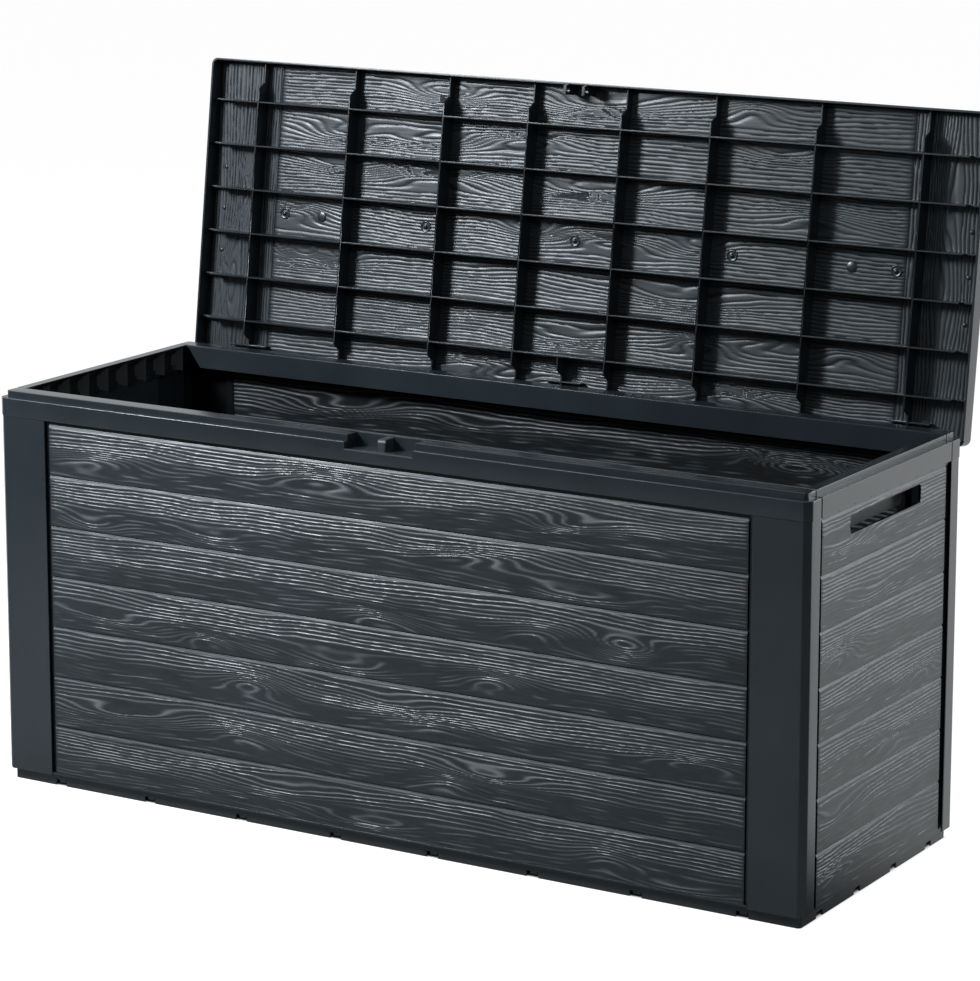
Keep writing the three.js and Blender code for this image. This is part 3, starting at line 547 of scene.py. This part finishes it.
def inner_planks(name, start, along, inward, length, planks, material, seed, step, row_step):
    """Grained planks on a wall's inside, each with a pale foot: a painted highlight where the inner joint ridge
    below catches light from above.
    """
    relief = Relief()
    for i in planks:
        low, high = joint_height(i) + JOINT_BEVEL, joint_height(i + 1) - JOINT_BEVEL
        if i == PLANK_COUNT - 1:
            high = joint_height(i + 1) - 1.0
        place = wall_place((start[0], start[1], low), along, inward)
        # The foot rows carry a full tone, a painted highlight.
        foot = [(0.0, -0.5, 0.0, 0.0), (0.5, -0.1, 0.0, 1.0), (3.4, 0.0, 0.1, 1.0), (3.8, 0.0, 0.2, 0.0)]
        face = [row for row in flat_rows(high - low, row_step) if row[0] > 4.4]
        relief.slab(place, length, foot + face, seed + 31 * i, step, back=-1.2)
    return relief.piece(name, "box", "panel_plastic", material)


face_y = HALF_DEPTH - PLANK_INSET
face_x = HALF_LENGTH - PLANK_INSET
inner_y = face_y - WALL
inner_x = face_x - WALL
long_run, side_run = 2 * FIELD_X, 2 * SIDE_SPAN
upper, lower = (4, 5, 6), (0, 1, 2, 3)

for planks, part in (((5, 6), "upper"), ((3, 4), "middle"), ((0, 1, 2), "lower")):
    outer_planks(f"front_planks_{part}", (-FIELD_X, -face_y), (1, 0, 0), (0, -1, 0), long_run, planks,
                 long_grain, 1100, 4.0, 0.65, 0.6)
for planks, part in ((upper, "upper"), (lower, "lower")):
    outer_planks(f"rear_planks_{part}", (FIELD_X, face_y), (-1, 0, 0), (0, 1, 0), long_run, planks,
                 long_grain, 2100, 5.0, 1.2, 0.6)
    inner_planks(f"rear_inner_planks_{part}", (FIELD_X, inner_y), (-1, 0, 0), (0, -1, 0), long_run, planks,
                 inner_grain_painted_shade, 2100, 4.0, 1.0)
inner_planks("front_inner_planks", (-FIELD_X, -inner_y), (1, 0, 0), (0, 1, 0), long_run, range(PLANK_COUNT),
             inner_grain_painted_shade, 1100, 5.0, 1.6)
inner_planks("right_inner_planks", (inner_x, SIDE_SPAN), (0, -1, 0), (-1, 0, 0), side_run,
             range(INNER_SIDE_PLANKS), inner_grain_painted_shade, 3100, 4.0, 1.6)
inner_planks("left_inner_planks", (-inner_x, -SIDE_SPAN), (0, 1, 0), (1, 0, 0), side_run,
             range(INNER_SIDE_PLANKS), inner_grain_painted_shade, 4100, 4.0, 1.6)
outer_planks("right_planks", (face_x, -SIDE_SPAN), (0, 1, 0), (1, 0, 0), side_run, range(PLANK_COUNT),
             side_grain, 3100, 3.0, 0.8, 0.1, slot_cutter(face_x - CUT_REACH, face_x + CUT_REACH))
outer_planks("left_planks", (-face_x, SIDE_SPAN), (0, -1, 0), (-1, 0, 0), side_run, range(PLANK_COUNT),
             side_grain, 4100, 3.0, 0.8, 0.1, slot_cutter(-face_x - CUT_REACH, -face_x + CUT_REACH))


def lid_place(origin, along, across, out):
    """Maps (u, v, depth) on the closed lid to points on the open lid at rest."""
    origin, along, across, out = (np.array(a, float) for a in (origin, along, across, out))
    cosine, sine = math.cos(OPEN_TURN), math.sin(OPEN_TURN)

    def place(u, v, d):
        p = origin + u[:, None] * along + v[:, None] * across + d[:, None] * out
        y = p[:, 1] * cosine + p[:, 2] * sine
        z = -p[:, 1] * sine + p[:, 2] * cosine
        return np.stack([p[:, 0] + AXIS[0], y + AXIS[1], z + AXIS[2]], -1)
    return place


row_edges = [LID_FRONT + LID_SKIRT, *LID_ROWS, LID_REAR - LID_SKIRT]
boards_run = 2 * LID_END_JOINT
for part, rows in (("front", range(0, 3)), ("middle", range(3, 5)), ("rear", range(5, 7))):
    under, top = Relief(), Relief()
    for i in rows:
        low, high = row_edges[i], row_edges[i + 1]
        seed = 5100 + 31 * i
        under.slab(lid_place((-LID_END_JOINT, low, LID_UNDER), (1, 0, 0), (0, 1, 0), (0, 0, -1)),
                   boards_run, flat_rows(high - low, 1.0, 0.8, 0.4), seed, 4.0, -1.0, -1.0, 1.0, -1.0)
        top.slab(lid_place((LID_END_JOINT, low, LID_TOP), (-1, 0, 0), (0, 1, 0), (0, 0, 1)),
                 boards_run, flat_rows(high - low, 1.2, 1.5, 1.2), seed, 4.0, 1.0, -1.6, calm=-1.0)
    under.piece(f"lid_under_boards_{part}", "lid", "lid_plastic", lid_grain)
    top.piece(f"lid_top_boards_{part}", "lid", "lid_plastic", long_grain)
ends_under, ends_top = Relief(), Relief()
lid_span = LID_REAR - LID_FRONT - 2 * LID_SKIRT
board = LID_HALF - LID_SKIRT - LID_END_JOINT
for side in (-1, 1):
    x0 = LID_END_JOINT if side > 0 else -LID_HALF + LID_SKIRT
    ends_under.slab(lid_place((x0, LID_FRONT + LID_SKIRT, LID_UNDER), (0, 1, 0), (1, 0, 0), (0, 0, -1)),
                    lid_span, flat_rows(board, 1.0, 0.8, 0.4), 6100 + side, 3.5, -1.0, -1.0, 1.0, -1.0)
    ends_top.slab(lid_place((x0, LID_FRONT + LID_SKIRT, LID_TOP), (0, 1, 0), (1, 0, 0), (0, 0, 1)),
                  lid_span, flat_rows(board, 1.2, 1.5, 1.2), 6100 + side, 4.0, 1.0, -1.6, calm=-1.0)
ends_under.piece("lid_under_end_boards", "lid", "lid_plastic", end_grain)
ends_top.piece("lid_top_end_boards", "lid", "lid_plastic", end_grain)

# ------------------------------------------------------------------ moulding marks under the lid


def turned_marks(name, profile, spots, material, facets=20):
    """One small turned shape repeated at (x, y) spots on the underside of the boards."""
    points, faces = [], []
    for x, y in spots:
        first = len(points)
        for radius, height in profile:
            for k in range(facets):
                angle = 2 * math.pi * k / facets
                points.append((x + radius * math.cos(angle), y + radius * math.sin(angle), height))
        for ring in range(len(profile) - 1):
            for k in range(facets):
                low, after = first + ring * facets + k, first + ring * facets + (k + 1) % facets
                faces.append((low, after, after + facets, low + facets))
        faces.append(tuple(first + k for k in range(facets))[::-1])
        last = first + (len(profile) - 1) * facets
        faces.append(tuple(last + k for k in range(facets)))
    given = np.array(points)
    at = lid_place((0, 0, LID_UNDER), (1, 0, 0), (0, 1, 0), (0, 0, -1))(given[:, 0], given[:, 1], given[:, 2])
    mesh = bpy.data.meshes.new(name)
    mesh.from_pydata((at * MM).tolist(), [], faces)
    bm = bmesh.new()
    bm.from_mesh(mesh)
    bmesh.ops.recalc_face_normals(bm, faces=bm.faces)
    for face in bm.faces:
        face.smooth = len(face.verts) == 4
    bm.to_mesh(mesh)
    bm.free()
    return adopt(mesh, name, "lid", material)


MARK_ROW = LID_REAR - 206.0
turned_marks("lid_gate_marks", [(8.4, -1.0), (8.2, 0.9), (7.2, 2.2), (6.2, 2.3), (5.2, 1.3), (3.0, 1.2),
                                (2.4, 2.6), (1.5, 3.4), (0.4, 3.5)],
             [(x, MARK_ROW) for x in (-455, -229, 0, 230, 459)], lid_satin)
turned_marks("lid_ejector_discs", [(7.4, -1.0), (7.2, 1.5), (6.6, 1.9), (1.0, 1.9)],
             [(x, MARK_ROW) for x in (-395, 398)], lid_satin)
turned_marks("lid_end_studs", [(3.0, -1.0), (2.8, 1.6), (2.2, 2.2), (0.5, 2.3)],
             [(x, LID_REAR - d) for x in (-556, 556) for d in (148, 206, 262)], pin_black)

# ------------------------------------------------------------------ stage, light and camera


def added(nodes, kind, **values):
    node = nodes.new(kind)
    for name, value in values.items():
        setattr(node, name, value)
    return node


def background_seen(tree, backdrop):
    """1 for the camera's rays, and for gloss and glass the share of the pale backdrop where they reach."""
    nodes, links = tree.nodes, tree.links
    path = nodes.new("ShaderNodeLightPath")
    mirrored = added(nodes, "ShaderNodeMath", operation="MAXIMUM")
    links.new(path.outputs["Is Glossy Ray"], mirrored.inputs[0])
    links.new(path.outputs["Is Transmission Ray"], mirrored.inputs[1])
    shared = added(nodes, "ShaderNodeMath", operation="MULTIPLY")
    links.new(mirrored.outputs[0], shared.inputs[0])
    links.new(backdrop, shared.inputs[1])
    seen = added(nodes, "ShaderNodeMath", operation="MAXIMUM")
    links.new(path.outputs["Is Camera Ray"], seen.inputs[0])
    links.new(shared.outputs[0], seen.inputs[1])
    return seen.outputs[0]


def ramp(tree, value, low, high):
    """0 below low to 1 above high."""
    node = added(tree.nodes, "ShaderNodeMapRange", interpolation_type="SMOOTHSTEP")
    node.inputs["From Min"].default_value, node.inputs["From Max"].default_value = low, high
    tree.links.new(value, node.inputs["Value"])
    return node.outputs[0]


world = bpy.data.worlds.new("studio")
scene.world = world
world.use_nodes = True
tree = world.node_tree
tree.nodes.clear()
facing = tree.nodes.new("ShaderNodeTexCoord")
facing_parts = tree.nodes.new("ShaderNodeSeparateXYZ")
tree.links.new(facing.outputs["Generated"], facing_parts.inputs[0])
room_seen = background_seen(tree, ramp(tree, facing_parts.outputs["Y"], -0.1, 0.35))
room, backdrop_white = (tree.nodes.new("ShaderNodeBackground") for _ in range(2))
room.inputs["Strength"].default_value = 0.16
room_mix = tree.nodes.new("ShaderNodeMixShader")
tree.links.new(room_seen, room_mix.inputs[0])
tree.links.new(room.outputs[0], room_mix.inputs[1])
tree.links.new(backdrop_white.outputs[0], room_mix.inputs[2])
world_out = tree.nodes.new("ShaderNodeOutputWorld")
tree.links.new(room_mix.outputs[0], world_out.inputs["Surface"])

floor_mesh = bpy.data.meshes.new("studio_floor")
reach = 30.0  # metres
floor_mesh.from_pydata([(-reach, -reach, 0), (reach, -reach, 0), (reach, reach, 0), (-reach, reach, 0)], [],
                       [(0, 1, 2, 3)])
studio_floor = bpy.data.objects.new("studio_floor", floor_mesh)
scene.collection.objects.link(studio_floor)
floor_paint = bpy.data.materials.new("pale_floor")
floor_paint.use_nodes = True
tree = floor_paint.node_tree
floor_shader = tree.nodes["Principled BSDF"]
floor_shader.inputs["Base Color"].default_value = (0.34, 0.34, 0.34, 1)
floor_shader.inputs["Roughness"].default_value = 1.0
floor_shader.inputs["Specular IOR Level"].default_value = 0.0
spot = tree.nodes.new("ShaderNodeTexCoord")
spot_parts = tree.nodes.new("ShaderNodeSeparateXYZ")
tree.links.new(spot.outputs["Object"], spot_parts.inputs[0])
clear_of = []
for axis, half in (("X", HALF_LENGTH), ("Y", HALF_DEPTH)):
    size = added(tree.nodes, "ShaderNodeMath", operation="ABSOLUTE")
    tree.links.new(spot_parts.outputs[axis], size.inputs[0])
    clear_of.append(ramp(tree, size.outputs[0], (half - 14) * MM, (half - 4) * MM))
clear = added(tree.nodes, "ShaderNodeMath", operation="MAXIMUM")
tree.links.new(clear_of[0], clear.inputs[0])
tree.links.new(clear_of[1], clear.inputs[1])
floor_seen = background_seen(tree, ramp(tree, spot_parts.outputs["Y"], -0.15, 0.25))
glow_scale = added(tree.nodes, "ShaderNodeMath", operation="MULTIPLY")
tree.links.new(floor_seen, glow_scale.inputs[0])
tree.links.new(clear.outputs[0], glow_scale.inputs[1])
glow_level = added(tree.nodes, "ShaderNodeMath", operation="MULTIPLY")
glow_level.inputs[1].default_value = 0.94
tree.links.new(glow_scale.outputs[0], glow_level.inputs[0])
glow = tree.nodes.new("ShaderNodeEmission")
tree.links.new(glow_level.outputs[0], glow.inputs["Strength"])
floor_add = tree.nodes.new("ShaderNodeAddShader")
tree.links.new(floor_shader.outputs[0], floor_add.inputs[0])
tree.links.new(glow.outputs[0], floor_add.inputs[1])
tree.links.new(floor_add.outputs[0], tree.nodes["Material Output"].inputs["Surface"])
floor_mesh.materials.append(floor_paint)
studio_floor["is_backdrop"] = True


def softbox(name, place, aim, width, height, power):
    lamp = bpy.data.lights.new(name, "AREA")
    lamp.shape = "RECTANGLE"
    lamp.size, lamp.size_y, lamp.energy = width, height, power
    holder = bpy.data.objects.new(name, lamp)
    scene.collection.objects.link(holder)
    holder.location = place
    holder.rotation_euler = (Vector(aim) - Vector(place)).to_track_quat("-Z", "Y").to_euler()
    return holder


softbox("key_left", (-1.10, -1.05, 1.55), (-0.1, 0.1, 0.6), 0.36, 0.36, 44)
softbox("strip_left", (-1.35, -1.55, 2.0), (-0.1, 0.0, 0.4), 0.5, 1.1, 12)
softbox("top_left", (-1.4, -1.1, 2.4), (0, 0, 0.3), 1.4, 0.9, 14)
softbox("rear_right", (2.4, 2.4, 1.1), (0.5, 0, 0.3), 1.2, 1.4, 30)
softbox("fill_right", (1.9, -1.6, 2.0), (-0.4, 0, 0.4), 0.9, 0.9, 12)

CAMERA_PLACE = (2.4321, -3.9560, 1.4739)
CAMERA_TURN = math.radians(31.242)
CAMERA_TILT = math.radians(11.36)
camera = bpy.data.objects.new("camera", bpy.data.cameras.new("camera"))
scene.collection.objects.link(camera)
camera.location = CAMERA_PLACE
camera.rotation_euler = (math.pi / 2 - CAMERA_TILT, 0, CAMERA_TURN)
camera.data.lens = 139.292
camera.data.sensor_width = 36
camera.data.shift_y = -0.102
camera.data.clip_start, camera.data.clip_end = 0.1, 100
scene.camera = camera
scene.view_settings.view_transform = "Standard"

low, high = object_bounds()
